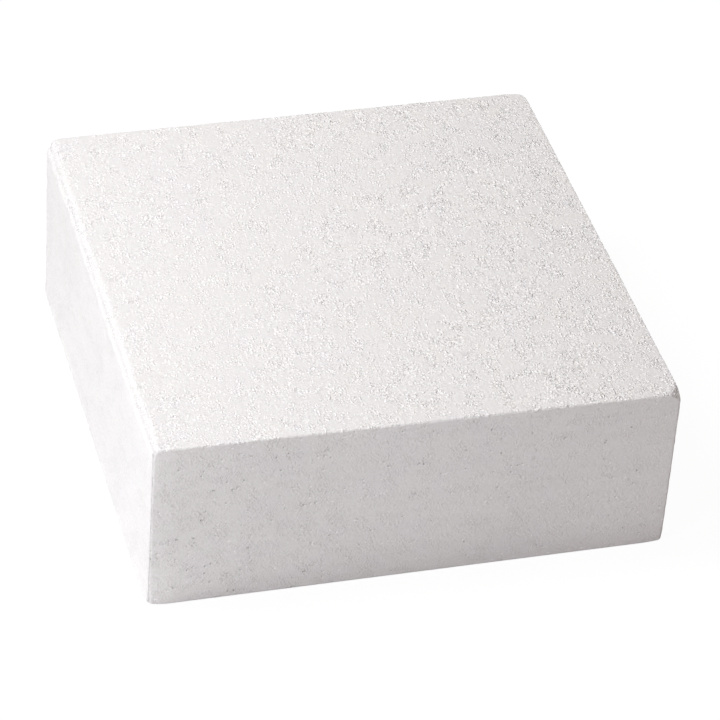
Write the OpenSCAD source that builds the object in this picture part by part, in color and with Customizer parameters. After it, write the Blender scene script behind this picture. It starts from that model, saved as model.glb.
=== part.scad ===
// Dry foam block for flower arrangements: one square slab, hot-wire cut from a
// billet of white granular foam. It stands on its base, with the origin at the
// middle of the base, +Z up and the front face towards -Y.

/* [Block] */
// Width, left to right
block_w = 203.2; // [100:0.1:300]
// Depth, front to back
block_d = 203.2; // [100:0.1:300]
// Thickness
block_h = 76.2; // [40:0.1:120]

/* [Edges] */
// Radius of the four upright edges
upright_r = 3.5; // [1:0.1:10]
// Radius of the worn top edge on the left
worn_r = 5; // [1:0.1:12]
// Radius of the other three top edges
top_r = 1.5; // [0.5:0.1:10]
// Radius of the four bottom edges
base_r = 1; // [0.5:0.1:10]

/* [Colour] */
// Colour of the foam
foam_colour = "whitesmoke"; // [white, whitesmoke, snow, ivory]

/* [Hidden] */

$fn = 64;
// How far each outline's extrusion runs past the block at both ends
overrun = 5;

// Outline w wide and h high, centred across the Y axis and standing on the X axis.
// radii rounds its corners, from the lower left one anticlockwise.
module rounded_outline(w, h, radii) {
    corners = [[-w / 2, 0], [w / 2, 0], [w / 2, h], [-w / 2, h]];
    inward = [[1, 1], [-1, 1], [-1, -1], [1, -1]];
    difference() {
        translate([-w / 2, 0])
            square([w, h]);
        for (i = [0:3])
            translate(corners[i])
                square(2 * radii[i], center = true);
    }
    for (i = [0:3])
        translate(corners[i] + radii[i] * inward[i])
            circle(radii[i]);
}

// Front view, run through the depth: it rounds the edges of the left and right sides.
module front_prism() {
    length = block_d + 2 * overrun;
    translate([0, length / 2, 0])
        rotate([90, 0, 0])
            linear_extrude(length)
                rounded_outline(block_w, block_h, [base_r, base_r, top_r, worn_r]);
}

// Side view, run through the width: it rounds the edges of the front and the back.
module side_prism() {
    length = block_w + 2 * overrun;
    translate([-length / 2, 0, 0])
        rotate([90, 0, 90])
            linear_extrude(length)
                rounded_outline(block_d, block_h, [base_r, base_r, top_r, top_r]);
}

// Top view, run through the thickness: it rounds the four upright edges.
module upright_prism() {
    translate([0, -block_d / 2, -overrun])
        linear_extrude(block_h + 2 * overrun)
            rounded_outline(block_w, block_d, [upright_r, upright_r, upright_r, upright_r]);
}

// The block is what the three prisms share.
module foam_block() {
    color(foam_colour)
        intersection() {
            front_prism();
            side_prism();
            upright_prism();
        }
}

foam_block();
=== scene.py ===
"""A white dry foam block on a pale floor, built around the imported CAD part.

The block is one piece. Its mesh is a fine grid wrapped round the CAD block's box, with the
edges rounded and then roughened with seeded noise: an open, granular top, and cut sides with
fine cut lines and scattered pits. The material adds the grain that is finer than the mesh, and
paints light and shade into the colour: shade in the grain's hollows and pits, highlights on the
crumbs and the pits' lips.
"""

import math

import bpy
import numpy as np
from mathutils import Matrix, Vector


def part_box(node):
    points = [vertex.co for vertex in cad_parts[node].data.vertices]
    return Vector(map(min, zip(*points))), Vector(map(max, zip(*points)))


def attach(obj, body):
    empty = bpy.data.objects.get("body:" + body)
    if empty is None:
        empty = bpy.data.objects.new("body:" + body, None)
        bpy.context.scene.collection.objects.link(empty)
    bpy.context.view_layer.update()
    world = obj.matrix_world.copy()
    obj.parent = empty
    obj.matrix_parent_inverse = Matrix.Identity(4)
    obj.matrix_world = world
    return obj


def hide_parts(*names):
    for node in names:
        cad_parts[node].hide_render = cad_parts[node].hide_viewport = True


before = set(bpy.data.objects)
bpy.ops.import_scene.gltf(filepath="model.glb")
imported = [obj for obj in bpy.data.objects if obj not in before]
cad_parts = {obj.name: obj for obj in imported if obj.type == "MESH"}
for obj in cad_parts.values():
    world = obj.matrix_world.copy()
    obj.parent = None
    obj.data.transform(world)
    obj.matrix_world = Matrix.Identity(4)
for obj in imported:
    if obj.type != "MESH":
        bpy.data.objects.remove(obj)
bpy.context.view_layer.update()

MM = 0.001
NODE = "foam_block"

# ---------------------------------------------------------------- sizes, in millimetres

LOW, HIGH = (np.array(corner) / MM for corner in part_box(NODE))
CENTRE = (LOW + HIGH) / 2
HALF = (HIGH - LOW) / 2

GRID_PITCH = 0.62
RIM_WIDTH = 2.8  # the grid is finer than this near every edge
RIM_PITCH = 0.4

# Radius of each edge, keyed by the two faces that meet there.
EDGE_RADII = {
    ("-x", "+z"): 3.8,
    ("+x", "+z"): 0.8,
    ("-y", "+z"): 0.9,
    ("+y", "+z"): 1.0,
    ("-x", "-z"): 0.8,
    ("+x", "-z"): 0.8,
    ("-y", "-z"): 0.8,
    ("+y", "-z"): 0.8,
    ("-x", "-y"): 1.6,
    ("+x", "-y"): 0.7,
    ("-x", "+y"): 4.0,
    ("+x", "+y"): 2.4,
}

# Extra rounding at the corners that have been knocked, keyed by three faces.
CORNER_WEAR = {
    ("+x", "-y", "+z"): 0.6,
    ("+x", "-y", "-z"): 0.9,
    ("-x", "-y", "-z"): 1.8,
    ("-x", "-y", "+z"): 1.2,
    ("-x", "+y", "+z"): 2.0,
    ("+x", "+y", "+z"): 1.6,
}
CORNER_REACH = 4.5

# Corners cut off flat by a knock: how far the cut runs along x, y and z from the corner.
CORNER_CUTS = {
    ("+x", "-y", "+z"): (4.5, 6.5, 3.2),
    ("-x", "-y", "+z"): (1.6, 1.8, 2.2),
}

# The block isn't quite square: its front is wider than its back, leans out at the top, and its
# near right top corner has sunk.
FRONT_FLARE = 2.3
FRONT_LEAN = 1.5
CORNER_SAG = 2.3

# The sides fall away a little towards the front left upright edge.
SHOULDER_WIDTH = 11.0
SHOULDER_DEPTH = 1.0

# How much rougher the grain is at the top's right side, and at the sides' left end, than at
# the other end, and the relief of the sides' finest grain against that of the top.
TOP_GAIN = 2.0
SIDE_GAIN = 1.4
SIDE_RELIEF = 0.95

# Limits of the height of the mesh's grain, how much of that height follows the roughness, and
# how strongly the edges are chipped.
DEEPEST = -0.9
HIGHEST = 0.35
ROUGHNESS_SHARE = 0.15
CHIP_STRENGTH = 1.2

# The material's own sizes: its grain, its fine painted shading, crumbs and pits, the step from a
# pit to the painted highlight on its lip, the depth of its relief, how far light scatters in it,
# and its patches of tint.
GRAIN_SIZE = 0.9
PAINTED_SHADING_SIZE = 0.55
CRUMB_CELL = 1.15
PIT_CELL = 2.3
PIT_HIGHLIGHT_OFFSET = (-0.3, 0.0, 0.5)
BUMP_DEPTH = 0.28
SCATTER_DEPTH = 1.5
TINT_SIZE = 14.0


# ---------------------------------------------------------------- colours

GREY_FOAM = (0.785, 0.768, 0.761)
WHITE_FOAM = (0.83, 0.817, 0.811)
WARM_TINT = (1.0, 0.993, 0.985)
COOL_TINT = (1.0, 0.986, 0.993)
WHITE = (1.0, 1.0, 1.0, 1)
FLOOR_COLOUR = (0.74, 0.74, 0.74, 1)
WORLD_COLOUR = (1.0, 0.885, 0.85, 1)


# ---------------------------------------------------------------- studio, in metres

FLOOR_SIZE = 6.0
WORLD_STRENGTH = 0.318

# Name, place, diameter, power in watts and colour. The low lamp lifts the right side and the
# back, and it stays below the top face.
LAMPS = (
    ("key", (-0.45, 0.10, 0.90), 0.4, 7.35, (0.945, 0.985, 1.0)),
    ("fill", (-0.80, -0.60, 0.35), 0.5, 4.6, (0.915, 0.95, 1.0)),
    ("low", (0.70, 0.62, 0.036), 0.06, 2.8, (0.93, 0.965, 1.0)),
)

# Azimuth, elevation and roll in degrees. The lens and the aim's offset are in millimetres.
CAMERA_ANGLES = (-16.91, 37.46, 3.95)
CAMERA_DISTANCE = 1.536
CAMERA_LENS = 193.8
AIM_RIGHT = 6.3
AIM_UP = -9.0


# ---------------------------------------------------------------- seeded noise


def lattice_hash(cells, seed):
    """A repeatable whole number from 0 to 65535 for each row of three whole numbers."""
    h = cells[:, 0] * 374761393 + cells[:, 1] * 668265263 + cells[:, 2] * 2147483647
    h = (h + seed * 974634777) & 0xFFFFFFFF
    h = ((h ^ (h >> 13)) * 1274126177) & 0xFFFFFFFF
    h = ((h ^ (h >> 16)) * 2246822519) & 0xFFFFFFFF
    return (h ^ (h >> 15)) & 0xFFFF


def gradient_noise(points, seed):
    """Smooth noise with features one unit across, about -1 to 1."""
    cell = np.floor(points).astype(np.int64)
    part = points - cell
    ease = part * part * part * (part * (part * 6 - 15) + 10)
    total = np.zeros(len(points))
    for corner in np.ndindex(2, 2, 2):
        corner = np.array(corner)
        h = lattice_hash(cell + corner, seed)
        turn = (h & 0xFF) * (2 * math.pi / 256)
        lift = (h >> 8) / 127.5 - 1
        flat = np.sqrt(1 - lift * lift)
        away = part - corner
        slope = away[:, 0] * flat * np.cos(turn) + away[:, 1] * flat * np.sin(turn)
        slope = slope + away[:, 2] * lift
        share = np.prod(np.where(corner, ease, 1 - ease), axis=1)
        total += share * slope
    return total * 1.6


def nearest_seeds(points, seed):
    """Distance to the nearest and the second nearest of one random point per unit cell, and
    the nearest one's own random number from 0 to 1."""
    cell = np.floor(points).astype(np.int64)
    near = np.full(len(points), 9.0)
    second = np.full(len(points), 9.0)
    own = np.zeros(len(points))
    for step in np.ndindex(3, 3, 3):
        there = cell + np.array(step) - 1
        spot = np.stack([lattice_hash(there, seed + k) for k in (1, 2, 3)], axis=1) / 65536
        gap = np.linalg.norm(there + spot - points, axis=1)
        closer = gap < near
        second = np.where(closer, near, np.minimum(second, gap))
        own = np.where(closer, lattice_hash(there, seed + 4) / 65536, own)
        near = np.where(closer, gap, near)
    return near, second, own


def smooth_step(value, low, high):
    t = np.clip((value - low) / (high - low), 0, 1)
    return t * t * (3 - 2 * t)


# ---------------------------------------------------------------- the block's mesh


def grid_lines(low, high):
    """Places of the grid's lines from low to high, closer together near both ends."""
    rim_steps = round(RIM_WIDTH / RIM_PITCH)
    rim = np.arange(rim_steps) * RIM_PITCH
    start, end = low + RIM_WIDTH, high - RIM_WIDTH
    middle = np.linspace(start, end, round((end - start) / GRID_PITCH) + 1)
    return np.concatenate([low + rim, middle, high - rim[::-1]])


def box_grid():
    """Points and four-sided faces of a closed grid over the box, with shared edges."""
    lines = [grid_lines(-HALF[axis], HALF[axis]) for axis in range(3)]
    counts = [len(line) for line in lines]
    keys, quads, start = [], [], 0
    for axis in range(3):
        u, v = (axis + 1) % 3, (axis + 2) % 3
        for side in (0, 1):
            iu, iv = np.meshgrid(np.arange(counts[u]), np.arange(counts[v]), indexing="ij")
            index = np.zeros((counts[u], counts[v], 3), np.int64)
            index[..., u], index[..., v] = iu, iv
            index[..., axis] = (counts[axis] - 1) * side
            keys.append(index.reshape(-1, 3))
            number = start + np.arange(counts[u] * counts[v]).reshape(counts[u], counts[v])
            ring = [number[:-1, :-1], number[1:, :-1], number[1:, 1:], number[:-1, 1:]]
            if side == 0:
                ring.reverse()
            quads.append(np.stack([corner.ravel() for corner in ring], axis=1))
            start += number.size
    keys = np.concatenate(keys)
    code = (keys[:, 0] * counts[1] + keys[:, 1]) * counts[2] + keys[:, 2]
    _, first, merged = np.unique(code, return_index=True, return_inverse=True)
    keys = keys[first]
    points = np.stack([lines[axis][keys[:, axis]] for axis in range(3)], axis=1)
    return points, merged.ravel()[np.concatenate(quads)]


def face_gap(points, face):
    """How far the points are from one face of the box, such as "-x"."""
    axis = "xyz".index(face[1])
    sign = 1 if face[0] == "+" else -1
    return HALF[axis] - sign * points[:, axis]


def edge_radius(points):
    """Rounding radius at each point: that of the nearest edge, blended near the corners."""
    weights, radii = np.zeros(len(points)), np.zeros(len(points))
    for faces, radius in EDGE_RADII.items():
        gap = np.hypot(*(face_gap(points, face) for face in faces))
        weight = 1 / (gap * gap + 4) ** 2
        weights += weight
        radii += weight * radius
    wear = gradient_noise(points / 17, seed=11) + 0.5 * gradient_noise(points / 6, seed=12)
    above_base = smooth_step(face_gap(points, "-z"), 2.0, 8.0)
    radii = (radii / weights) * (1 + 0.22 * wear * above_base)
    for faces, extra in CORNER_WEAR.items():
        gaps = np.stack([face_gap(points, face) for face in faces], axis=1)
        radii += extra * np.exp(-((np.linalg.norm(gaps, axis=1) / CORNER_REACH) ** 2))
    return radii


def rounded(points):
    """The points moved onto the rounded block with its cut corners, and their normals."""
    radius = edge_radius(points)[:, None]
    core = np.clip(points, radius - HALF, HALF - radius)
    normal = points - core
    normal /= np.linalg.norm(normal, axis=1)[:, None]
    points = core + radius * normal
    for faces, reach in CORNER_CUTS.items():
        sign = np.array([1 if face[0] == "+" else -1 for face in faces])
        slope = sign / np.array(reach)
        size = np.linalg.norm(slope)
        depth = 1 / size + 0.25 * gradient_noise(points / 2.5, seed=13)
        over = (points - sign * HALF) @ (slope / size) + depth
        points = points - np.maximum(over, 0)[:, None] * slope / size
        turned = smooth_step(over, 0.0, 0.3)[:, None]
        normal = normal * (1 - turned) + turned * slope / size
    return points, normal / np.linalg.norm(normal, axis=1)[:, None]


def drifted(points, size, reach, seed):
    """The points moved about by smooth noise, so that what is laid out on them isn't regular."""
    drift = [gradient_noise(points / size, seed=seed + k) for k in range(3)]
    return points + reach * np.stack(drift, axis=1)


def open_grain(p):
    """Height of the granular top, in millimetres: crumbs drawn out front to back."""
    q = drifted(p, 2.6, 0.6, seed=21)
    near, second, own = nearest_seeds(q / [1.5, 1.9, 1.5], seed=31)
    crumbs = smooth_step(0.5 - near, 0.0, 0.4) * smooth_step(own, 0.35, 1.0)
    crease = -smooth_step(0.2 - (second - near), 0.0, 0.2)
    fine = gradient_noise(q / [0.9, 1.2, 0.9], seed=41)
    streaks = gradient_noise(p / [0.9, 15.0, 0.9], seed=42)
    broad = gradient_noise(p / [9.0, 16.0, 9.0], seed=43)
    gap, _, rare = nearest_seeds(q / [6.0, 7.5, 6.0], seed=51)
    pits = -smooth_step(0.06 + 0.08 * rare - gap, 0.0, 0.1) * (rare > 0.5)
    return (
        0.15 * crumbs
        + 0.02 * crease
        + 0.05 * fine
        + 0.03 * streaks
        + 0.01 * broad
        + 0.16 * pits
    )


def cut_face(p):
    """Height of a cut side, in millimetres: cut lines along it, pits and short cracks."""
    lines = gradient_noise(p / [22.0, 22.0, 0.9], seed=61)
    bands = gradient_noise(p / [90.0, 90.0, 6.0], seed=62)
    wave = gradient_noise(p / 38.0, seed=63)
    fine = gradient_noise(p / 0.9, seed=64)
    uneven = gradient_noise(p / 1.7, seed=66)
    q = drifted(p, 1.3, 0.5, seed=71)
    gap, _, rare = nearest_seeds(q / 3.6, seed=81)
    pits = -smooth_step(0.03 + 0.17 * rare - gap, 0.0, 0.1) * (rare > 0.35)
    near, second, _ = nearest_seeds(q / 1.9, seed=86)
    torn = smooth_step(gradient_noise(p / 2.8, seed=65), 0.3, 0.6)
    cracks = -smooth_step(0.2 - (second - near), 0.0, 0.2) * torn
    return (
        0.07 * lines
        + 0.05 * bands
        + 0.12 * wave
        + 0.04 * fine
        + 0.04 * uneven
        + 0.26 * pits
        + 0.08 * cracks
    )


def patchiness(p):
    """About 0.15 to 2.2: the crumbs lie in clusters, with calm patches between them."""
    patches = gradient_noise(p / [6.5, 8.5, 6.5], seed=44)
    clusters = gradient_noise(p / [2.8, 3.4, 2.8], seed=45)
    return np.clip(1.0 + 1.2 * patches + 1.15 * clusters, 0.15, 2.2)


def shoulder(p):
    """How far the sides fall away towards the front left upright edge, in millimetres."""
    along = np.hypot(face_gap(p, "-x"), face_gap(p, "-y"))
    return SHOULDER_DEPTH * np.clip(1 - along / SHOULDER_WIDTH, 0, 1) ** 2


def out_of_square(p):
    """How the block's real shape differs from a true square block, in millimetres."""
    right, back, up = ((p + HALF) / (2 * HALF)).T
    front = 1 - back
    flare = FRONT_FLARE * right * (front - 0.5)
    lean = -FRONT_LEAN * front * up
    sag = -CORNER_SAG * right * front * up
    return np.stack([flare, lean, sag], axis=1)


def block_surface():
    """The finished points, in millimetres, the faces, and four values at each point: the
    height of its grain, how much relief the finer grain has, how open the grain is, and how
    far round an edge it is, which counts most on the left."""
    flat, quads = box_grid()
    points, normal = rounded(flat)
    top = smooth_step(normal[:, 2], 0.1, 0.7)
    base = smooth_step(-normal[:, 2], 0.35, 0.9)
    openness = np.maximum(top, 0.8 * base)
    rightward = smooth_step(points[:, 0], -HALF[0], HALF[0])
    top_gain = 1 + (TOP_GAIN - 1) * rightward
    side_gain = SIDE_GAIN + (1 - SIDE_GAIN) * rightward
    gain = patchiness(points) * (openness * top_gain + (1 - openness) * side_gain)
    height = np.zeros(len(points))
    for share, recipe in ((openness, open_grain), (1 - openness, cut_face)):
        there = share > 0
        height[there] += share[there] * recipe(points[there])
    height *= 1 + ROUGHNESS_SHARE * (gain - 1)
    edge = 1 - np.max(np.abs(normal), axis=1)
    chips = np.minimum(gradient_noise(points / 1.8, seed=91) - 0.1, 0)
    above_base = smooth_step(face_gap(flat, "-z"), 0.0, 3.0)
    height += CHIP_STRENGTH * edge * chips * above_base
    height = np.clip(height, DEEPEST, HIGHEST) * (0.25 + 0.75 * above_base)
    side = 1 - np.abs(normal[:, 2:])
    points = points + out_of_square(points) + CENTRE + normal * height[:, None]
    points -= normal * side * shoulder(flat)[:, None]
    points[:, 2] = np.maximum(points[:, 2], LOW[2])
    relief = gain * (SIDE_RELIEF + (1 - SIDE_RELIEF) * openness)
    edge *= 0.3 + 0.7 * smooth_step(-normal[:, 0], 0.0, 0.5)
    values = {"height": height, "relief": relief, "openness": openness, "edge": edge}
    return points, quads, values


def mesh_object(name, points, quads):
    """A smooth-shaded mesh object from points in millimetres and four-sided faces."""
    mesh = bpy.data.meshes.new(name)
    mesh.vertices.add(len(points))
    mesh.vertices.foreach_set("co", (points * MM).astype(np.float32).ravel())
    mesh.loops.add(quads.size)
    mesh.loops.foreach_set("vertex_index", quads.astype(np.int32).ravel())
    mesh.polygons.add(len(quads))
    mesh.polygons.foreach_set("loop_start", np.arange(0, quads.size, 4, dtype=np.int32))
    mesh.polygons.foreach_set("use_smooth", np.ones(len(quads), bool))
    mesh.update(calc_edges=True)
    mesh.validate()
    piece = bpy.data.objects.new(name, mesh)
    bpy.context.scene.collection.objects.link(piece)
    return piece


def add_attribute(piece, name, values):
    attribute = piece.data.attributes.new(name, "FLOAT", "POINT")
    attribute.data.foreach_set("value", values.astype(np.float32))


# ---------------------------------------------------------------- materials


class Nodes:
    """The node tree of a material or a world, with short ways to add and link its nodes."""

    def __init__(self, owner):
        owner.use_nodes = True
        self.tree = owner.node_tree

    def feed(self, socket, value):
        """Link another node's output to the socket, or set the socket's own value."""
        if isinstance(value, bpy.types.NodeSocket):
            self.tree.links.new(value, socket)
        else:
            socket.default_value = value

    def add(self, kind, inputs=None, **settings):
        """A new node, with its settings and what feeds its inputs."""
        node = self.tree.nodes.new(kind)
        for key, value in settings.items():
            setattr(node, key, value)
        for key, value in (inputs or {}).items():
            self.feed(node.inputs[key], value)
        return node

    def attribute(self, name):
        return self.add("ShaderNodeAttribute", attribute_name=name).outputs["Fac"]

    def ranged(self, value, low, high, to_low, to_high):
        """The value carried from one range to another, and held inside it."""
        inputs = {
            "Value": value,
            "From Min": low,
            "From Max": high,
            "To Min": to_low,
            "To Max": to_high,
        }
        return self.add("ShaderNodeMapRange", inputs).outputs["Result"]

    def math(self, operation, first, second):
        inputs = {0: first, 1: second}
        return self.add("ShaderNodeMath", inputs, operation=operation).outputs["Value"]

    def product(self, first, *others):
        for other in others:
            first = self.math("MULTIPLY", first, other)
        return first

    def ramp(self, value, low, low_colour, high, high_colour):
        """The value turned into a colour between two colours."""
        node = self.add("ShaderNodeValToRGB", {"Fac": value})
        start, end = node.color_ramp.elements
        start.position, start.color = low, (*low_colour, 1)
        end.position, end.color = high, (*high_colour, 1)
        return node.outputs["Color"]

    def tinted(self, colour, factor):
        """The colour times another colour or a plain factor."""
        inputs = {"Factor": 1.0, 6: colour, 7: factor}
        node = self.add("ShaderNodeMix", inputs, data_type="RGBA", blend_type="MULTIPLY")
        return node.outputs[2]

    def noise(self, place, size, detail=2.0, roughness=0.5):
        """A noise texture whose largest features are the given size, in millimetres."""
        inputs = {
            "Vector": place,
            "Scale": 1 / (size * MM),
            "Detail": detail,
            "Roughness": roughness,
        }
        return self.add("ShaderNodeTexNoise", inputs)

    def moved(self, place, offset):
        inputs = {0: place, 1: [step * MM for step in offset]}
        return self.add("ShaderNodeVectorMath", inputs, operation="ADD").outputs["Vector"]

    def irregular(self, place, size, reach):
        """The place pushed about by noise, so that dots laid out on it aren't round."""
        push = self.noise(place, size).outputs["Color"]
        inputs = {0: push, 1: (reach * MM,) * 3, 2: place}
        node = self.add("ShaderNodeVectorMath", inputs, operation="MULTIPLY_ADD")
        return node.outputs["Vector"]

    def dots(self, place, size, core, rim, low, high):
        """Dots of uneven strength in some cells: those whose own number is over low."""
        inputs = {"Vector": place, "Scale": 1 / (size * MM)}
        cells = self.add("ShaderNodeTexVoronoi", inputs, feature="F1")
        own = self.add("ShaderNodeSeparateColor", {"Color": cells.outputs["Color"]})
        chosen = self.ranged(own.outputs["Red"], low, high, 0.0, 1.0)
        return self.product(chosen, self.ranged(cells.outputs["Distance"], core, rim, 1.0, 0.0))


def small_pits(nodes, place, share):
    """Pits of the cut sides that are too small for the mesh, and painted highlights on the lips
    above them.
    """
    place = nodes.irregular(place, 0.9, reach=2.0)
    pits = nodes.dots(place, PIT_CELL, 0.05, 0.25, 0.35, 1.0)
    painted_lip_highlights = nodes.dots(nodes.moved(place, PIT_HIGHLIGHT_OFFSET), PIT_CELL, 0.05, 0.22, 0.35, 0.7)
    return nodes.product(pits, share), nodes.product(painted_lip_highlights, share)


def foam_colour(nodes, place, grain, factors):
    """White with a slight change of tint, times each factor, which paint shade and highlights into
    it.
    """
    tint = nodes.ramp(grain, 0.32, GREY_FOAM, 0.66, WHITE_FOAM)
    drift = nodes.noise(place, TINT_SIZE, detail=1.0).outputs["Fac"]
    colour = nodes.tinted(tint, nodes.ramp(drift, 0.4, WARM_TINT, 0.6, COOL_TINT))
    for factor in factors:
        colour = nodes.tinted(colour, factor)
    return colour


def foam_bump(nodes, grain, crumbs, pits, openness, relief):
    """The normal of the grain that is finer than the mesh.

    The grain and the crumbs are centred on nought, so that scaling them by the relief makes
    no lumps.
    """
    fine_share = nodes.ranged(openness, 0.0, 1.0, 1.0, 0.42)
    crumb_share = nodes.ranged(openness, 0.0, 1.0, 0.05, 0.55)
    fine_part = nodes.product(nodes.math("SUBTRACT", grain, 0.5), fine_share)
    crumb_part = nodes.product(nodes.math("SUBTRACT", crumbs, 0.15), crumb_share)
    height = nodes.math("ADD", fine_part, crumb_part)
    height = nodes.math("SUBTRACT", height, nodes.product(pits, 0.45))
    inputs = {"Strength": 1.0, "Distance": BUMP_DEPTH * MM, "Height": nodes.product(height, relief)}
    return nodes.add("ShaderNodeBump", inputs).outputs["Normal"]


def foam_material():
    material = bpy.data.materials.new("white_foam")
    nodes = Nodes(material)
    height = nodes.attribute("height")
    relief = nodes.attribute("relief")
    openness = nodes.attribute("openness")
    edge = nodes.attribute("edge")
    cut_share = nodes.product(nodes.ranged(openness, 0.0, 1.0, 1.0, 0.1), relief)
    open_share = nodes.product(nodes.ranged(openness, 0.0, 1.0, 0.12, 1.0), relief)

    place = nodes.add("ShaderNodeTexCoord").outputs["Object"]
    stretch = {"Vector": place, "Scale": (1.0, 0.85, 1.0)}
    place = nodes.add("ShaderNodeMapping", stretch).outputs["Vector"]
    grain = nodes.noise(place, GRAIN_SIZE, detail=3.0, roughness=0.6).outputs["Fac"]
    # Fine painted light and shade of the grain, laid into the colour with the crumbs' painted
    # highlights.
    painted_fine_shading = nodes.noise(place, PAINTED_SHADING_SIZE, detail=1.0).outputs["Fac"]
    crumbs = nodes.dots(nodes.irregular(place, 1.2, reach=1.4), CRUMB_CELL, 0.25, 0.5, 0.4, 0.6)
    pits, painted_lip_highlights = small_pits(nodes, place, cut_share)
    painted_fine_shading = nodes.product(nodes.math("SUBTRACT", painted_fine_shading, 0.5), 2.2)
    painted_speck_light = nodes.math("ADD", nodes.math("SUBTRACT", crumbs, 0.05), painted_fine_shading)
    painted_speck_light = nodes.product(painted_speck_light, open_share)

    factors = [
        # Painted shade in the hollows of the mesh's grain, and painted light on its raised parts.
        nodes.ranged(height, -0.4, 0.3, 0.9, 1.05),
        # Painted shade in the small pits, whose mask also sinks them in the bump.
        nodes.ranged(pits, 0.0, 0.9, 1.0, 0.83),
        # Painted highlight on the lip above each pit.
        nodes.ranged(painted_lip_highlights, 0.0, 0.5, 1.0, 1.2),
        # Painted highlights on the crumbs and fine painted light and shade of the grain, strongest
        # where the relief is.
        nodes.ranged(painted_speck_light, -1.15, 1.15, 0.71, 1.29),
        # Rough patches shade themselves. This keeps them as light as the calm ones.
        nodes.ranged(open_share, 0.3, 4.5, 0.985, 1.07),
        # Both lamps reach the worn left edge. This keeps it from burning out.
        nodes.ranged(edge, 0.0, 0.29, 1.0, 0.83),
    ]
    look = {
        "Base Color": foam_colour(nodes, place, grain, factors),
        "Roughness": nodes.ranged(grain, 0.42, 0.68, 0.85, 0.3),
        "Specular IOR Level": 0.5,
        "Subsurface Weight": 0.12,
        "Subsurface Radius": (1.0, 0.95, 0.9),
        "Subsurface Scale": SCATTER_DEPTH * MM,
        "Normal": foam_bump(nodes, grain, crumbs, pits, openness, relief),
    }
    shader = nodes.tree.nodes["Principled BSDF"]
    for key, value in look.items():
        nodes.feed(shader.inputs[key], value)
    return material


def camera_sees(nodes, output, seen, lit_by):
    """Show one shader to the camera, and light the scene with another."""
    ray = nodes.add("ShaderNodeLightPath").outputs["Is Camera Ray"]
    mix = nodes.add("ShaderNodeMixShader", {0: ray, 1: lit_by, 2: seen})
    nodes.add(output, {"Surface": mix.outputs[0]})


def floor_material():
    """Pale floor: to the camera nearly white with a faint shadow, to the block a matt white."""
    material = bpy.data.materials.new("pale_floor")
    nodes = Nodes(material)
    nodes.tree.nodes.clear()
    matt = nodes.add("ShaderNodeBsdfDiffuse", {"Color": FLOOR_COLOUR})
    faint = nodes.add("ShaderNodeBsdfDiffuse", {"Color": (0.07, 0.07, 0.07, 1)})
    glow = nodes.add("ShaderNodeEmission", {"Color": WHITE, "Strength": 0.95})
    seen = nodes.add("ShaderNodeAddShader", {0: faint.outputs[0], 1: glow.outputs[0]})
    camera_sees(nodes, "ShaderNodeOutputMaterial", seen.outputs[0], matt.outputs[0])
    return material


# ---------------------------------------------------------------- floor, light and camera


def add_floor():
    half = FLOOR_SIZE / 2
    mesh = bpy.data.meshes.new("floor")
    corners = [(-half, -half, 0), (half, -half, 0), (half, half, 0), (-half, half, 0)]
    mesh.from_pydata(corners, [], [(0, 1, 2, 3)])
    mesh.materials.append(floor_material())
    floor = bpy.data.objects.new("floor", mesh)
    bpy.context.scene.collection.objects.link(floor)


def add_lamp(name, place, size, power, colour):
    """A round lamp aimed at the middle of the block."""
    data = bpy.data.lights.new(name, "AREA")
    data.shape = "DISK"
    data.size = size
    data.energy = power
    data.color = colour
    lamp = bpy.data.objects.new(name, data)
    lamp.location = place
    aim = Vector(CENTRE * MM) - lamp.location
    lamp.rotation_euler = aim.to_track_quat("-Z", "Y").to_euler()
    bpy.context.scene.collection.objects.link(lamp)


def add_world():
    """Soft light from all round; the camera itself sees plain white."""
    world = bpy.data.worlds.new("studio")
    bpy.context.scene.world = world
    nodes = Nodes(world)
    nodes.tree.nodes.clear()
    glow = nodes.add("ShaderNodeBackground", {"Color": WORLD_COLOUR, "Strength": WORLD_STRENGTH})
    white = nodes.add("ShaderNodeBackground", {"Color": WHITE, "Strength": 1.0})
    camera_sees(nodes, "ShaderNodeOutputWorld", white.outputs[0], glow.outputs[0])


def add_camera():
    """Looks down at the block from the front left, with a long lens and a slight roll."""
    azimuth, elevation, roll = (math.radians(angle) for angle in CAMERA_ANGLES)
    level = math.cos(elevation)
    back = Vector((math.sin(azimuth) * level, -math.cos(azimuth) * level, math.sin(elevation)))
    right = Vector((math.cos(azimuth), math.sin(azimuth), 0))
    up = back.cross(right)
    aim = Vector(CENTRE * MM) + right * AIM_RIGHT * MM + up * AIM_UP * MM
    turned_right = right * math.cos(roll) + up * math.sin(roll)
    turned_up = up * math.cos(roll) - right * math.sin(roll)
    turn = Matrix((turned_right, turned_up, back)).transposed()
    data = bpy.data.cameras.new("camera")
    data.lens = CAMERA_LENS
    data.sensor_width = 36
    camera = bpy.data.objects.new("camera", data)
    camera.matrix_world = Matrix.Translation(aim + back * CAMERA_DISTANCE) @ turn.to_4x4()
    bpy.context.scene.collection.objects.link(camera)
    bpy.context.scene.camera = camera


add_camera()
bpy.context.scene.view_settings.view_transform = "Standard"

surface_points, surface_quads, surface_values = block_surface()
block = mesh_object("foam_block_surface", surface_points, surface_quads)
for value_name, values in surface_values.items():
    add_attribute(block, value_name, values)
block.data.materials.append(foam_material())
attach(block, "root")
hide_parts(NODE)

add_floor()
add_world()
for lamp_settings in LAMPS:
    add_lamp(*lamp_settings)
